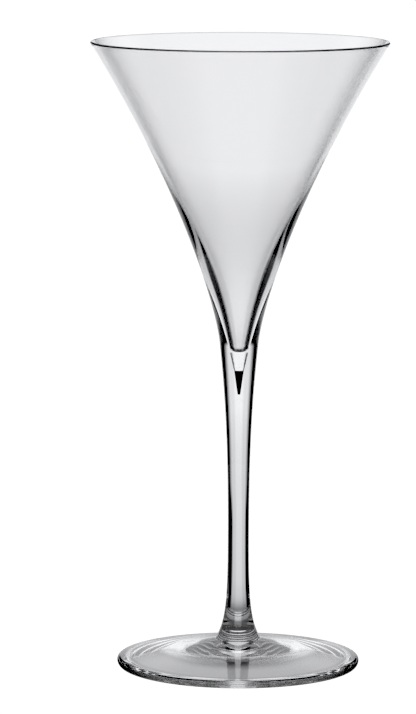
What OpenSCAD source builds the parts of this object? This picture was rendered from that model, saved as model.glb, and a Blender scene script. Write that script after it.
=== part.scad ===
// Martini glass in clear crystal: a blown conical bowl, a drawn stem and a domed foot.
// Each piece is a solid of revolution about Z. The glass stands on z = 0.
// The stem's top carries a conical pit. A plug of glass under the bowl fills the pit's
// upper part, and the air left below the plug is the teardrop seen in the stem.

/* [Overall] */
// Height over the rim
height = 220; // [212:1:224]
// Diameter over the rim
rim_d = 104; // [100:1:112]
// Diameter of the foot
foot_d = 85; // [78:0.2:92]

/* [Bowl] */
// Thickness of the glass at the fire-polished rim
rim_t = 1; // [0.8:0.05:1.3]
// Lean of the outer wall at the rim, in degrees from vertical
outer_lean = 31.6; // [30:0.2:33]
// Lean of the inner wall at the rim, in degrees from vertical
inner_lean = 31; // [30.4:0.1:31.4]
// Lean of the inner wall at its middle, from where the glass thickens quickly downwards
middle_lean = 27.5; // [26.7:0.1:28]
// Width of the narrow well at the bottom of the bowl
well_d = 4.6; // [4.2:0.1:5]
// Height of the well's bottom
well_z = 111.8; // [111.4:0.1:112.6]

/* [Stem] */
// Height of the outer edge of the joint between bowl and stem
joint_z = 114; // [113.6:0.1:115]
// Diameter of the stem at that joint
joint_d = 13.4; // [12.4:0.1:14.4]
// Diameter of the stem at its waist
waist_d = 7.3; // [6.5:0.1:8.6]
// Height of the waist
waist_z = 47; // [43:1:52]
// Diameter of the stem where it meets the foot
seat_d = 15.8; // [14.6:0.1:17.4]

/* [Teardrop] */
// Diameter of the pit at its mouth
pit_d = 3.9; // [3.4:0.1:4.6]
// Diameter of the pit at the end of the plug
plug_d = 2.1; // [1.8:0.1:2.6]
// Length of the plug under the bowl
plug_l = 6.4; // [5:0.2:9]
// Length of the trapped air below the plug
air_l = 8.5; // [6:0.1:11]
// Radius of the teardrop's rounded tip
tip_r = 0.3; // [0.2:0.05:0.4]

/* [Foot] */
// Height of the foot where the stem joins it
foot_h = 9.8; // [9:0.1:11]
// Height of the widest part of the foot's round edge
edge_z = 2.1; // [1.8:0.1:2.4]
// Radius of the edge's upper rounding
edge_r = 1.4; // [1.1:0.1:1.8]
// Width of the flat ring that the glass stands on
ring_w = 2.4; // [1.2:0.1:4]
// Depth of the hollow under the foot
kick = 5.5; // [4.5:0.1:6]

/* [Hidden] */
$fn = 96;
crystal = [0.88, 0.92, 0.93, 0.5];
curve_steps = 24;
arc_steps = 8;

// Bowl: how strongly each end of a wall curve is pulled along its tangent, as a share of
// the wall's height, and the walls' lean at their lower ends
bowl_h = height - joint_z;
outer_rim_pull = 0.546 * bowl_h;
outer_joint_pull = 0.147 * bowl_h;
joint_lean = 6;
inner_rim_pull = 0.26 * bowl_h;
middle_up_pull = 0.132 * bowl_h;
middle_down_pull = 0.188 * bowl_h;
inner_well_pull = 0.224 * bowl_h;
well_lean = 9.3;
well_round = 2;
rim_c = [rim_d / 2 - rim_t / 2, height - rim_t / 2];
inner_middle = [0.419 * rim_d / 2, joint_z + 0.481 * bowl_h];

// Joint of bowl and stem: a shallow dish that rises outwards from the pit's mouth
mouth_z = well_z - 0.2;
joint_edge = [joint_d / 2, joint_z];
pit_mouth = [pit_d / 2, mouth_z];
plug_end = [plug_d / 2, mouth_z - plug_l];

// Teardrop: centre of the tip's rounding, and the angle where the straight side meets it
tip_c = [0, plug_end[1] - air_l + tip_r];
tip_turn = asin(tip_r / norm(plug_end - tip_c)) - atan2(plug_end[0], air_l - tip_r);

// Stem: pulls of its two curves, and the lean of the flare where it meets the foot
stem_top_pull = 0.277 * (joint_z - waist_z);
waist_up_pull = 0.472 * (joint_z - waist_z);
waist_down_pull = 0.578 * (waist_z - foot_h);
flare_pull = 0.192 * (waist_z - foot_h);
flare_lean = 32;
waist = [waist_d / 2, waist_z];
seat = [seat_d / 2, foot_h];

// Foot: slopes of its top at the stem and at the edge, in degrees from level
seat_slope = 15;
edge_slope = 9.5;
foot_pull = 0.33 * (foot_d - seat_d) / 2;
edge_c = [foot_d / 2 - edge_r, edge_z];
sole_c = [foot_d / 2 - edge_z, edge_z];
ring_out = sole_c[0];
ring_in = ring_out - ring_w;
kick_r = (ring_in * ring_in + kick * kick) / (2 * kick);

// Unit vector at an angle from the vertical, leaning outwards and pointing up
function leaning(angle) = [sin(angle), cos(angle)];

// Cubic curve from a to b, pulled towards a + pull_a and b + pull_b
function curve(a, pull_a, pull_b, b) = [
    for (i = [0 : curve_steps])
        let (t = i / curve_steps, u = 1 - t)
            u * u * u * a + 3 * u * u * t * (a + pull_a) + 3 * u * t * t * (b + pull_b) + t * t * t * b
];

// Circular arc about c, from angle a0 to angle a1
function arc(c, r, a0, a1) = [
    for (i = [0 : arc_steps])
        let (a = a0 + (a1 - a0) * i / arc_steps)
            c + r * [cos(a), sin(a)]
];

// The bowl's outer wall, from the joint up to the rim
function outer_wall() = curve(
    joint_edge,
    outer_joint_pull * leaning(joint_lean),
    -outer_rim_pull * leaning(outer_lean),
    rim_c + rim_t / 2 * [cos(outer_lean), -sin(outer_lean)]
);

// The bowl's inner wall, from the rim down to its middle and on to the well
function inner_upper() = curve(
    rim_c - rim_t / 2 * [cos(inner_lean), -sin(inner_lean)],
    -inner_rim_pull * leaning(inner_lean),
    middle_up_pull * leaning(middle_lean),
    inner_middle
);
function inner_lower() = curve(
    inner_middle,
    -middle_down_pull * leaning(middle_lean),
    inner_well_pull * leaning(well_lean),
    [well_d / 2, well_z + well_round]
);

// The stem's side, from the joint down to the waist and out to the foot
function stem_upper() = curve(
    joint_edge,
    -stem_top_pull * leaning(joint_lean),
    [0, waist_up_pull],
    waist
);
function stem_lower() = curve(
    waist,
    [0, -waist_down_pull],
    flare_pull * [-sin(flare_lean), cos(flare_lean)],
    seat
);

// The foot's top, from the seat out to the edge
function foot_top() = curve(
    seat,
    foot_pull * [cos(seat_slope), -sin(seat_slope)],
    foot_pull * [-cos(edge_slope), sin(edge_slope)],
    edge_c + edge_r * [sin(edge_slope), cos(edge_slope)]
);

// A list of points without its first one, for joining two runs that share a point
function rest_of(points) = [for (i = [1 : len(points) - 1]) points[i]];

module lathe(outline) {
    rotate_extrude() polygon(outline);
}

// Blown bowl with a rounded rim, a wall that thickens downwards, a narrow well and a plug
module bowl() {
    rim_arc = arc(rim_c, rim_t / 2, -outer_lean, 180 - inner_lean);
    well_arc = arc([well_d / 2 - well_round, well_z + well_round], well_round, 0, -90);
    color(crystal)
        lathe(concat(
            outer_wall(),
            rest_of(rim_arc),
            rest_of(inner_upper()),
            rest_of(inner_lower()),
            rest_of(well_arc),
            [[0, well_z], [0, plug_end[1]], plug_end, pit_mouth]
        ));
}

// Drawn stem with the dished joint, the pit with its rounded end, and a flare at its foot
module stem() {
    pit_end = arc(tip_c, tip_r, -90, tip_turn);
    color(crystal)
        lathe(concat(
            [[0, foot_h]],
            pit_end,
            [plug_end, pit_mouth],
            stem_upper(),
            rest_of(stem_lower())
        ));
}

// Foot with a sloping top, a round edge, a flat ring to stand on and a domed hollow
module foot() {
    upper_edge = arc(edge_c, edge_r, 90 - edge_slope, 0);
    lower_edge = arc(sole_c, edge_z, 0, -90);
    kick_angle = asin(ring_in / kick_r);
    hollow = arc([0, kick - kick_r], kick_r, 90 - kick_angle, 90);
    color(crystal)
        lathe(concat(
            [[0, foot_h]],
            foot_top(),
            rest_of(upper_edge),
            rest_of(lower_edge),
            hollow
        ));
}

bowl();
stem();
foot();
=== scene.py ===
"""Martini glass in clear crystal, in a bright-field studio set."""
import math

import bpy
from mathutils import Matrix, Vector


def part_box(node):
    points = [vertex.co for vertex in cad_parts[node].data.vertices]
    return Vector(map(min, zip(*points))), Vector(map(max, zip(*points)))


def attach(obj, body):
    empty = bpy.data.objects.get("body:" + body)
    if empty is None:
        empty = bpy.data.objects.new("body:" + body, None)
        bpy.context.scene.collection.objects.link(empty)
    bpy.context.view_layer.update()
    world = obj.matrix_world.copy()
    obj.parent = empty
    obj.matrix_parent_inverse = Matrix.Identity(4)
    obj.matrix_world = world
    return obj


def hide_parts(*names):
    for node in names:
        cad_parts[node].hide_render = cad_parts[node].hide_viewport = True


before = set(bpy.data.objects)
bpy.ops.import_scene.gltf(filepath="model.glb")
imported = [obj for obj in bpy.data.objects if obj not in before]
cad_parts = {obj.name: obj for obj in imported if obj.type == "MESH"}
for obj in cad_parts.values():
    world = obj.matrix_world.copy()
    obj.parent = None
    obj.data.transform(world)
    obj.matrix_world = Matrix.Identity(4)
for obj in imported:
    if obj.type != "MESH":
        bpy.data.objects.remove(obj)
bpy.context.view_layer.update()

MM = 0.001


# ---------------------------------------------------------------- sizes

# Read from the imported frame
BOWL_LO, BOWL_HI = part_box("bowl")
STEM_LO, STEM_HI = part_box("stem")
FOOT_LO, FOOT_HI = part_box("foot")
HEIGHT = BOWL_HI.z
RIM_R = BOWL_HI.x
PLUG_Z = BOWL_LO.z
JOINT_Z = STEM_HI.z
SEAT_R = STEM_HI.x
SEAT_Z = STEM_LO.z
FOOT_R = FOOT_HI.x

# The design's other dimensions
RIM_T = 1.0 * MM
OUTER_LEAN = 31.6
INNER_LEAN = 31
MIDDLE_LEAN = 27.5
JOINT_R = 6.7 * MM
JOINT_LEAN = 6
WELL_R = 2.3 * MM
WELL_Z = 111.8 * MM
WELL_ROUND = 2.0 * MM
WELL_LEAN = 9.3
WAIST_R = 3.65 * MM
WAIST_Z = 47.0 * MM
FLARE_LEAN = 32
PIT_R = 1.95 * MM
MOUTH_Z = WELL_Z - 0.2 * MM
PLUG_R = 1.05 * MM
AIR_L = 8.5 * MM
TIP_R = 0.3 * MM
EDGE_Z = 2.1 * MM
EDGE_R = 1.4 * MM
EDGE_SLOPE = 9.5
SEAT_SLOPE = 15
RING_W = 2.4 * MM
KICK = 5.5 * MM

# Pulls of the outlines' curves, as shares of the height or width that each curve spans, and the
# place of the inner wall's middle, as shares of the rim's radius and of the wall's height
OUTER_JOINT_PULL, OUTER_RIM_PULL = 0.147, 0.546
INNER_RIM_PULL, INNER_WELL_PULL = 0.26, 0.224
MIDDLE_UP_PULL, MIDDLE_DOWN_PULL = 0.132, 0.188
MIDDLE_OUT, MIDDLE_UP = 0.419, 0.481
STEM_TOP_PULL, WAIST_UP_PULL = 0.277, 0.472
WAIST_DOWN_PULL, FLARE_PULL = 0.578, 0.192
FOOT_PULL = 0.33

# Lathe: faces around, the angle above which an edge is sharp, and the distance that counts as none
AROUND = 256
SHARP = 24
TINY = 1e-7


# ---------------------------------------------------------------- outlines

def leaning(angle):
    """Unit vector at an angle from the vertical, leaning outwards and pointing up."""
    a = math.radians(angle)
    return Vector((math.sin(a), math.cos(a)))


def curve(a, pull_a, pull_b, b, steps):
    """Cubic curve from a to b, pulled towards a + pull_a and b + pull_b."""
    points = []
    for i in range(steps + 1):
        t = i / steps
        u = 1 - t
        points.append(
            u**3 * a + 3 * u * u * t * (a + pull_a) + 3 * u * t * t * (b + pull_b) + t**3 * b
        )
    return points


def arc(centre, r, a0, a1, steps):
    """Circular arc about a centre, from angle a0 to angle a1 in degrees."""
    points = []
    for i in range(steps + 1):
        a = math.radians(a0 + (a1 - a0) * i / steps)
        points.append(centre + r * Vector((math.cos(a), math.sin(a))))
    return points


def straight(a, b, steps):
    """Evenly spaced points from a to b."""
    return [a.lerp(b, i / steps) for i in range(steps + 1)]


RIM_C = Vector((RIM_R - RIM_T / 2, HEIGHT - RIM_T / 2))
JOINT_EDGE = Vector((JOINT_R, JOINT_Z))
PIT_MOUTH = Vector((PIT_R, MOUTH_Z))
PLUG_END = Vector((PLUG_R, PLUG_Z))
TIP_C = Vector((0, PLUG_Z - AIR_L + TIP_R))
WAIST = Vector((WAIST_R, WAIST_Z))
SEAT = Vector((SEAT_R, SEAT_Z))
WALL_H = HEIGHT - JOINT_Z
UPPER_H = JOINT_Z - WAIST_Z
LOWER_H = WAIST_Z - SEAT_Z


def outer_wall():
    """The bowl's outside, from the joint up to the rim."""
    a = math.radians(OUTER_LEAN)
    return curve(
        JOINT_EDGE,
        OUTER_JOINT_PULL * WALL_H * leaning(JOINT_LEAN),
        -OUTER_RIM_PULL * WALL_H * leaning(OUTER_LEAN),
        RIM_C + RIM_T / 2 * Vector((math.cos(a), -math.sin(a))),
        110,
    )


def inner_wall():
    """The bowl's inside, from the rim down to the well's rounding. Below its middle the glass thickens."""
    a = math.radians(INNER_LEAN)
    top = RIM_C - RIM_T / 2 * Vector((math.cos(a), -math.sin(a)))
    middle = Vector((MIDDLE_OUT * RIM_R, JOINT_Z + MIDDLE_UP * WALL_H))
    upper = curve(
        top,
        -INNER_RIM_PULL * WALL_H * leaning(INNER_LEAN),
        MIDDLE_UP_PULL * WALL_H * leaning(MIDDLE_LEAN),
        middle,
        60,
    )
    lower = curve(
        middle,
        -MIDDLE_DOWN_PULL * WALL_H * leaning(MIDDLE_LEAN),
        INNER_WELL_PULL * WALL_H * leaning(WELL_LEAN),
        Vector((WELL_R, WELL_Z + WELL_ROUND)),
        60,
    )
    return upper + lower[1:]


def pocket_wall():
    """The teardrop's side, down to its rounded tip."""
    slope = math.atan2(PLUG_R, AIR_L - TIP_R)
    turn = math.asin(TIP_R / (PLUG_END - TIP_C).length) - slope
    tip = arc(TIP_C, TIP_R, math.degrees(turn), -90, 12)
    return straight(PLUG_END, tip[0], 14) + tip[1:]


def stem_side():
    """The stem's outside, from the joint down through the waist to the flare's end."""
    upper = curve(
        JOINT_EDGE,
        -STEM_TOP_PULL * UPPER_H * leaning(JOINT_LEAN),
        Vector((0, WAIST_UP_PULL * UPPER_H)),
        WAIST,
        60,
    )
    lean = leaning(FLARE_LEAN)
    lower = curve(
        WAIST,
        Vector((0, -WAIST_DOWN_PULL * LOWER_H)),
        FLARE_PULL * LOWER_H * Vector((-lean.x, lean.y)),
        SEAT,
        60,
    )
    return upper + lower[1:]


def foot_side():
    """The foot's top, its round edge, the flat ring that it stands on, and the hollow underneath."""
    s0, s1 = math.radians(SEAT_SLOPE), math.radians(EDGE_SLOPE)
    pull = FOOT_PULL * (FOOT_R - SEAT_R)
    edge_c = Vector((FOOT_R - EDGE_R, EDGE_Z))
    sole_c = Vector((FOOT_R - EDGE_Z, EDGE_Z))
    top = curve(
        SEAT,
        pull * Vector((math.cos(s0), -math.sin(s0))),
        pull * Vector((-math.cos(s1), math.sin(s1))),
        edge_c + EDGE_R * Vector((math.sin(s1), math.cos(s1))),
        60,
    )
    ring_in = FOOT_R - EDGE_Z - RING_W
    kick_r = (ring_in**2 + KICK**2) / (2 * KICK)
    kick_angle = math.degrees(math.asin(ring_in / kick_r))
    upper_edge = arc(edge_c, EDGE_R, 90 - EDGE_SLOPE, 0, 16)
    lower_edge = arc(sole_c, EDGE_Z, 0, -90, 20)
    hollow = arc(Vector((0, KICK - kick_r)), kick_r, 90 - kick_angle, 90, 48)
    return top + upper_edge[1:] + lower_edge[1:] + hollow


# ---------------------------------------------------------------- lathe

def lathe(name, runs, materials):
    """A closed solid of revolution. Each run is (points, material index), and follows on from the last one.
    The whole outline starts and ends on the axis, and its outside lies to the right of its direction."""
    outline, band = [runs[0][0][0]], []
    for points, slot in runs:
        for p in points[1:]:
            if (p - outline[-1]).length > TINY:
                outline.append(p)
                band.append(slot)
    verts, rings = [], []
    for p in outline:
        if p.x < TINY:
            rings.append([len(verts)] * AROUND)
            verts.append((0, 0, p.y))
        else:
            rings.append(list(range(len(verts), len(verts) + AROUND)))
            for j in range(AROUND):
                a = 2 * math.pi * j / AROUND
                verts.append((p.x * math.cos(a), p.x * math.sin(a), p.y))
    faces, slots = [], []
    for i, slot in enumerate(band):
        low, high = rings[i], rings[i + 1]
        for j in range(AROUND):
            k = (j + 1) % AROUND
            quad = [low[j], low[k], high[k], high[j]]
            face = [v for n, v in enumerate(quad) if v not in quad[:n]]
            faces.append(face)
            slots.append(slot)
    mesh = bpy.data.meshes.new(name)
    mesh.from_pydata(verts, [], faces)
    mesh.validate()
    for m in materials:
        mesh.materials.append(m)
    mesh.polygons.foreach_set("material_index", slots)
    mesh.shade_smooth()
    mesh.set_sharp_from_angle(angle=math.radians(SHARP))
    obj = bpy.data.objects.new(name, mesh)
    bpy.context.scene.collection.objects.link(obj)
    return obj


# ---------------------------------------------------------------- materials

# Crystal: index of refraction, greatest roughness, and the sizes of its waviness and of its polish marks
CRYSTAL_IOR = 1.6
ROUGHEST = 0.02
WAVE_SIZE, GRAIN_SIZE = 14 * MM, 2.5 * MM
BUMP_STRENGTH, BUMP_DEPTH = 1.0, 0.01 * MM

# A fused seam's painted shade: how dark it is, and the tilts between which it comes into view, 0 face on and
# 1 edge on
SEAM_SHADE = 0.9
SEAM_FROM, SEAM_FULL = 0.25, 0.6


def shader_node(tree, kind, *inputs, **settings):
    """A new node with its settings. Each input is a socket to link from, a value, or None to leave it."""
    made = tree.nodes.new("ShaderNode" + kind)
    for name, value in settings.items():
        setattr(made, name, value)
    for socket, value in zip(made.inputs, inputs):
        if isinstance(value, bpy.types.NodeSocket):
            tree.links.new(value, socket)
        elif value is not None:
            socket.default_value = value
    return made


def sums(tree, operation, *inputs):
    return shader_node(tree, "Math", *inputs, operation=operation).outputs[0]


def fade(tree, value, start, stop, low=0.0, high=1.0):
    """Smooth step from low at start to high at stop."""
    node = shader_node(tree, "MapRange", value, start, stop, low, high, interpolation_type="SMOOTHSTEP")
    return node.outputs[0]


def new_material(name):
    """A material and its tree, with nothing in the tree but the output."""
    mat = bpy.data.materials.new(name)
    mat.use_nodes = True
    mat.node_tree.nodes.remove(mat.node_tree.nodes["Principled BSDF"])
    return mat, mat.node_tree


def finish_material(tree, shader):
    tree.links.new(shader, tree.nodes["Material Output"].inputs["Surface"])


def crystal_material():
    """Clear lead crystal, mouth-blown: a faint waviness, and a polish that varies a little."""
    mat, tree = new_material("clear_crystal")
    place = shader_node(tree, "TexCoord").outputs["Object"]
    waves = shader_node(tree, "TexNoise", place, None, 1 / WAVE_SIZE, 2.0)
    grain = shader_node(tree, "TexNoise", place, None, 1 / GRAIN_SIZE, 3.0)
    polish = fade(tree, grain.outputs[0], 0.35, 0.8, 0.0, ROUGHEST)
    bump = shader_node(tree, "Bump", BUMP_STRENGTH, BUMP_DEPTH)
    tree.links.new(waves.outputs[0], bump.inputs["Height"])
    glass = shader_node(tree, "BsdfPrincipled")
    glass.inputs["Base Color"].default_value = (1, 1, 1, 1)
    glass.inputs["IOR"].default_value = CRYSTAL_IOR
    glass.inputs["Transmission Weight"].default_value = 1.0
    tree.links.new(polish, glass.inputs["Roughness"])
    tree.links.new(bump.outputs[0], glass.inputs["Normal"])
    finish_material(tree, glass.outputs[0])
    return mat


def fused_and_shaded_seam_material(dark):
    """Two pieces of glass melted together. At a darkness above none the seam gets painted shade: a
    see-through dark skin that shows only where it is seen edge on.
    """
    mat, tree = new_material("fused_joint_shade_%02d" % (100 * dark))
    tilt = shader_node(tree, "LayerWeight", 0.5).outputs["Facing"]
    edge_on_shade = fade(tree, tilt, SEAM_FROM, SEAM_FULL, 0.0, dark)
    clear = shader_node(tree, "BsdfTransparent")
    shade = shader_node(tree, "BsdfTransparent", (0, 0, 0, 1))
    mix = shader_node(tree, "MixShader", edge_on_shade, clear.outputs[0], shade.outputs[0])
    finish_material(tree, mix.outputs[0])
    return mat


def shaded_pocket_material():
    """The teardrop's wall, painted near black as painted shade: in clear glass its middle stays light, and
    the real one looks black.
    """
    mat, tree = new_material("air_pocket_painted_shade")
    wall = shader_node(tree, "BsdfPrincipled")
    wall.inputs["Base Color"].default_value = (0.003, 0.004, 0.004, 1)
    wall.inputs["Roughness"].default_value = 0.08
    finish_material(tree, wall.outputs[0])
    return mat


# ---------------------------------------------------------------- pieces

# Material slots: the seam's dark skin and the teardrop's near black wall are painted shade
CRYSTAL, FUSED, SHADED_SEAM, SHADED_POCKET = 0, 1, 2, 3
materials = [crystal_material(), fused_and_shaded_seam_material(0), fused_and_shaded_seam_material(SEAM_SHADE), shaded_pocket_material()]

bowl = lathe(
    "crystal_bowl",
    [
        # The plug's end: painted shade, near black like the teardrop's wall
        (straight(Vector((0, PLUG_Z)), PLUG_END, 3), SHADED_POCKET),
        # The plug's side: the seam with painted shade
        (straight(PLUG_END, PIT_MOUTH, 12), SHADED_SEAM),
        (straight(PIT_MOUTH, JOINT_EDGE, 6), FUSED),
        (outer_wall(), CRYSTAL),
        (arc(RIM_C, RIM_T / 2, -OUTER_LEAN, 180 - INNER_LEAN, 24), CRYSTAL),
        (inner_wall(), CRYSTAL),
        (arc(Vector((WELL_R - WELL_ROUND, WELL_Z + WELL_ROUND)), WELL_ROUND, 0, -90, 16), CRYSTAL),
        (straight(Vector((WELL_R - WELL_ROUND, WELL_Z)), Vector((0, WELL_Z)), 1), CRYSTAL),
    ],
    materials,
)
stem = lathe(
    "crystal_stem",
    [
        (straight(Vector((0, SEAT_Z)), SEAT, 8), FUSED),
        (list(reversed(stem_side())), CRYSTAL),
        (straight(JOINT_EDGE, PIT_MOUTH, 6), FUSED),
        (straight(PIT_MOUTH, PLUG_END, 12), FUSED),
        # The teardrop's wall: painted shade, near black
        (pocket_wall(), SHADED_POCKET),
    ],
    materials,
)
foot = lathe(
    "crystal_foot",
    [
        (list(reversed(foot_side())), CRYSTAL),
        (straight(SEAT, Vector((0, SEAT_Z)), 8), FUSED),
    ],
    materials,
)
for piece, node in ((bowl, "bowl"), (stem, "stem"), (foot, "foot")):
    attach(piece, "root")
    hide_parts(node)


# ---------------------------------------------------------------- camera

CAMERA_BACK = 1567.6 * MM
CAMERA_UP = 320.7 * MM
PITCH, YAW, ROLL = 7.672, 0.397, 0.17
LENS, SENSOR = 228.05, 36

camera_data = bpy.data.cameras.new("camera")
camera_data.sensor_width = SENSOR
camera_data.lens = LENS
camera = bpy.data.objects.new("camera", camera_data)
bpy.context.scene.collection.objects.link(camera)
camera.matrix_world = (
    Matrix.Translation((0, -CAMERA_BACK, CAMERA_UP))
    @ Matrix.Rotation(math.radians(YAW), 4, "Z")
    @ Matrix.Rotation(math.radians(90 - PITCH), 4, "X")
    @ Matrix.Rotation(math.radians(ROLL), 4, "Z")
)
bpy.context.scene.camera = camera


# ---------------------------------------------------------------- set

# The camera sees a plain white floor and backdrop. The glass sees a light tent in their place: its
# light is brightest behind the glass, fades out to the sides, and is weak on the floor around the foot.

TENT_R = 1.6
WHITE = 1.05
TINT = (0.975, 0.98, 1.0, 1)

# Light low down behind the glass: its level, and the angles to the side between which it fades,
# on the horizon and on the floor near the glass, where it is also turned a little
LOW = 0.86
LOW_IN, LOW_OUT = 26, 50
NEAR_IN, NEAR_OUT, NEAR_TURN = 25, 36, -3

# Sine of the height angle where the low light fades out, and where the light above fades in
LOW_FULL, LOW_TOP = 0.075, 0.14
ABOVE_FROM, ABOVE_FULL = 0.28, 0.62

# The bright core behind the glass, which narrows upwards, and the light above
CORE, CORE_IN, CORE_OUT, CORE_WIDE = 1.0, 8, 13, 40
CORE_FULL, CORE_TOP = 0.5, 0.9
ABOVE, ABOVE_IN, ABOVE_OUT, ABOVE_FRONT = 0.66, 55, 85, 0.25

# Light on the floor by distance from the glass
FLOOR_FADE = (
    (0.043, 0.18),
    (0.055, 0.28),
    (0.07, 0.52),
    (0.09, 0.66),
    (0.13, 0.74),
    (0.4, 0.8),
    (0.8, 0.89),
    (1.4, 1.0),
)

# Distances between which the floor's light widens, and the light on the floor in front
FLOOR_NEAR, FLOOR_FAR = 0.3, 0.5
FRONT, FRONT_IN, FRONT_OUT, FRONT_R = 0.3, 150, 115, 0.12

# Light under the foot, dimmer towards the camera, and fading out to the middle and to the edge
EDGE = 0.043
UNDER, UNDER_DIM, UNDER_MIDDLE, UNDER_EDGE = 0.43, 0.34, 0.2, 0.12
UNDER_IN, UNDER_BACK, UNDER_OUT = 0.012, 0.02, 0.027
UNDER_FADE, UNDER_END = 0.035, 0.04
UNDER_BEHIND, UNDER_SIDE, UNDER_FRONT = 50, 90, 150

# The glow of a reflector card low on the right
GLOW, GLOW_TURN, GLOW_IN, GLOW_OUT = 0.12, 60, 7, 18
GLOW_FULL, GLOW_FADE, GLOW_FAR = 0.06, 0.09, 0.15


def light_material(name, strength, tint=None):
    """An emitter. The strength is a number, or a function that makes it in the material's tree."""
    mat, tree = new_material(name)
    level = strength(tree) if callable(strength) else strength
    finish_material(tree, shader_node(tree, "Emission", tint, level).outputs[0])
    return mat


def bearing_of(tree, place):
    """A point's bearing from the set's middle in degrees: 0 behind the glass, + to the right."""
    part = shader_node(tree, "SeparateXYZ", place)
    return sums(tree, "DEGREES", sums(tree, "ARCTAN2", part.outputs[0], part.outputs[1]))


def tent_strength(tree):
    """Light of the tent's dome: the brightest of the low light, the core and the light above."""
    place = shader_node(tree, "TexCoord").outputs["Object"]
    rise = sums(tree, "DIVIDE", shader_node(tree, "SeparateXYZ", place).outputs[2], TENT_R)
    aside = sums(tree, "ABSOLUTE", bearing_of(tree, place))
    low = fade(tree, aside, LOW_OUT, LOW_IN, 0, LOW)
    low = sums(tree, "MULTIPLY", low, fade(tree, rise, LOW_TOP, LOW_FULL))
    wide = fade(tree, rise, LOW_FULL, LOW_TOP, CORE_WIDE, CORE_OUT)
    core = fade(tree, aside, wide, CORE_IN, 0, CORE)
    core = sums(tree, "MULTIPLY", core, fade(tree, rise, CORE_TOP, CORE_FULL))
    above = fade(tree, aside, ABOVE_OUT, ABOVE_IN, ABOVE_FRONT, ABOVE)
    above = sums(tree, "MULTIPLY", above, fade(tree, rise, ABOVE_FROM, ABOVE_FULL))
    return sums(tree, "MAXIMUM", sums(tree, "MAXIMUM", low, core), above)


def floor_strength(tree):
    """Light of the tent's floor: under the foot, and around it behind, in front and at the reflector card."""
    place = shader_node(tree, "TexCoord").outputs["Object"]
    bearing = bearing_of(tree, place)
    r = shader_node(tree, "VectorMath", place, operation="LENGTH").outputs["Value"]
    ramp = shader_node(tree, "ValToRGB", sums(tree, "DIVIDE", r, TENT_R))
    stops = ramp.color_ramp.elements
    while len(stops) < len(FLOOR_FADE):
        stops.new(0.5)
    for stop, (radius, level) in zip(stops, FLOOR_FADE):
        stop.position = radius / TENT_R
        stop.color = (level, level, level, 1)
    turn = fade(tree, r, FLOOR_NEAR, FLOOR_FAR, NEAR_TURN, 0)
    off = sums(tree, "ABSOLUTE", sums(tree, "SUBTRACT", bearing, turn))
    start = fade(tree, r, FLOOR_NEAR, FLOOR_FAR, NEAR_OUT, LOW_OUT)
    stop = fade(tree, r, FLOOR_NEAR, FLOOR_FAR, NEAR_IN, LOW_IN)
    wide = fade(tree, off, start, stop, 0, LOW)
    core = fade(tree, off, NEAR_OUT, CORE_IN, 0, CORE)
    behind = sums(tree, "MULTIPLY", ramp.outputs[0], sums(tree, "MAXIMUM", wide, core))
    aside = sums(tree, "ABSOLUTE", bearing)
    front = fade(tree, aside, FRONT_OUT, FRONT_IN, 0, FRONT)
    front = sums(tree, "MULTIPLY", front, fade(tree, r, EDGE, FRONT_R))
    off_card = sums(tree, "ABSOLUTE", sums(tree, "SUBTRACT", bearing, GLOW_TURN))
    card = fade(tree, off_card, GLOW_OUT, GLOW_IN, 0, GLOW)
    card = sums(tree, "MULTIPLY", card, fade(tree, r, GLOW_FAR, GLOW_FADE))
    card = sums(tree, "MULTIPLY", card, fade(tree, r, EDGE, GLOW_FULL))
    under = fade(tree, aside, UNDER_FRONT, UNDER_SIDE, UNDER_DIM, UNDER)
    start = fade(tree, aside, UNDER_SIDE, UNDER_BEHIND, UNDER_IN, UNDER_BACK)
    under = sums(tree, "MULTIPLY", under, fade(tree, r, start, UNDER_OUT, UNDER_MIDDLE))
    under = sums(tree, "MULTIPLY", under, fade(tree, r, UNDER_END, UNDER_FADE, UNDER_EDGE))
    around = sums(tree, "MAXIMUM", sums(tree, "MAXIMUM", behind, front), card)
    beyond = sums(tree, "GREATER_THAN", r, EDGE)
    return shader_node(tree, "Mix", beyond, None, under, around).outputs[0]


def stage(name, verts, faces, material, parent, seen_by_camera):
    """A piece of the set. The camera sees it and the glass doesn't, or the other way round."""
    mesh = bpy.data.meshes.new(name)
    mesh.from_pydata(verts, [], faces)
    mesh.materials.append(material)
    obj = bpy.data.objects.new(name, mesh)
    bpy.context.scene.collection.objects.link(obj)
    obj.parent = parent
    obj.visible_camera = seen_by_camera
    obj.visible_transmission = obj.visible_glossy = not seen_by_camera


rig = bpy.data.objects.new("set_turntable", None)
bpy.context.scene.collection.objects.link(rig)
track = rig.constraints.new("LOCKED_TRACK")
track.target = camera
track.track_axis = "TRACK_NEGATIVE_Y"
track.lock_axis = "LOCK_Z"

white = light_material("lit_white", WHITE)
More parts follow.
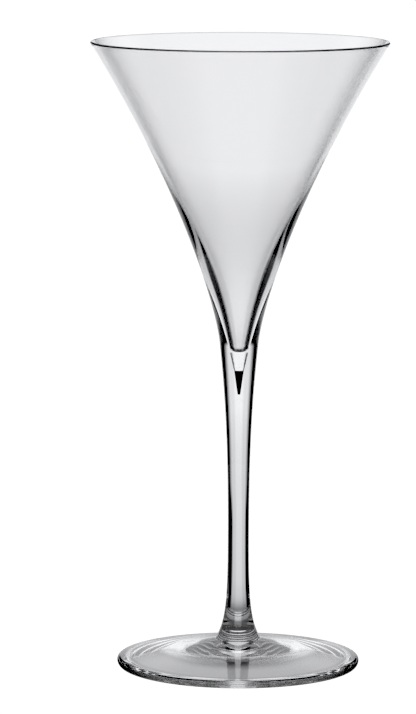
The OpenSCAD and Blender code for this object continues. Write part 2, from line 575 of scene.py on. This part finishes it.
# The camera's floor and backdrop
FAR, BACK, TALL = 6, 1.7, 5
floor = [(-FAR, -FAR, 0), (FAR, -FAR, 0), (FAR, FAR, 0), (-FAR, FAR, 0)]
backdrop = [(-FAR, BACK, 0), (FAR, BACK, 0), (FAR, BACK, TALL), (-FAR, BACK, TALL)]
stage("floor", floor, [(0, 1, 2, 3)], white, None, True)
stage("backdrop", backdrop, [(0, 1, 2, 3)], white, rig, True)

# The tent: faces around and up its dome, and how far its floor lies below the camera's
TURNS, RISES = 96, 24
DROP = 0.1 * MM


def tent_ring(height_angle, drop=0.0):
    """Points around the tent at a height angle in radians."""
    r, z = TENT_R * math.cos(height_angle), TENT_R * math.sin(height_angle) - drop
    turns = [2 * math.pi * j / TURNS for j in range(TURNS)]
    return [(r * math.cos(a), r * math.sin(a), z) for a in turns]


dome, dome_faces = [], []
for i in range(RISES):
    dome += tent_ring(math.pi / 2 * i / RISES)
    for j in range(TURNS):
        a, b = i * TURNS + j, i * TURNS + (j + 1) % TURNS
        if i < RISES - 1:
            dome_faces.append((a, b, b + TURNS, a + TURNS))
        else:
            dome_faces.append((a, b, RISES * TURNS))
dome.append((0, 0, TENT_R))
tent_light = light_material("tent_light", tent_strength, TINT)
tent_floor_light = light_material("tent_floor_light", floor_strength, TINT)
stage("tent", dome, dome_faces, tent_light, rig, False)
stage("tent_floor", tent_ring(0, DROP), [tuple(range(TURNS))], tent_floor_light, rig, False)

# The view: how the glass is traced, and the level shown as black
BLACK = 0.035
BOUNCES, GLOSSY_BOUNCES = 32, 16

scene = bpy.context.scene
scene.world = bpy.data.worlds.new("studio")
scene.world.use_nodes = True
scene.world.node_tree.nodes["Background"].inputs["Color"].default_value = (0, 0, 0, 1)

scene.cycles.max_bounces = BOUNCES
scene.cycles.transmission_bounces = BOUNCES
scene.cycles.glossy_bounces = GLOSSY_BOUNCES
scene.cycles.transparent_max_bounces = BOUNCES
scene.cycles.use_denoising = True
scene.view_settings.view_transform = "Standard"
scene.view_settings.use_curve_mapping = True
scene.view_settings.curve_mapping.black_level = (BLACK, BLACK, BLACK)
scene.view_settings.curve_mapping.update()
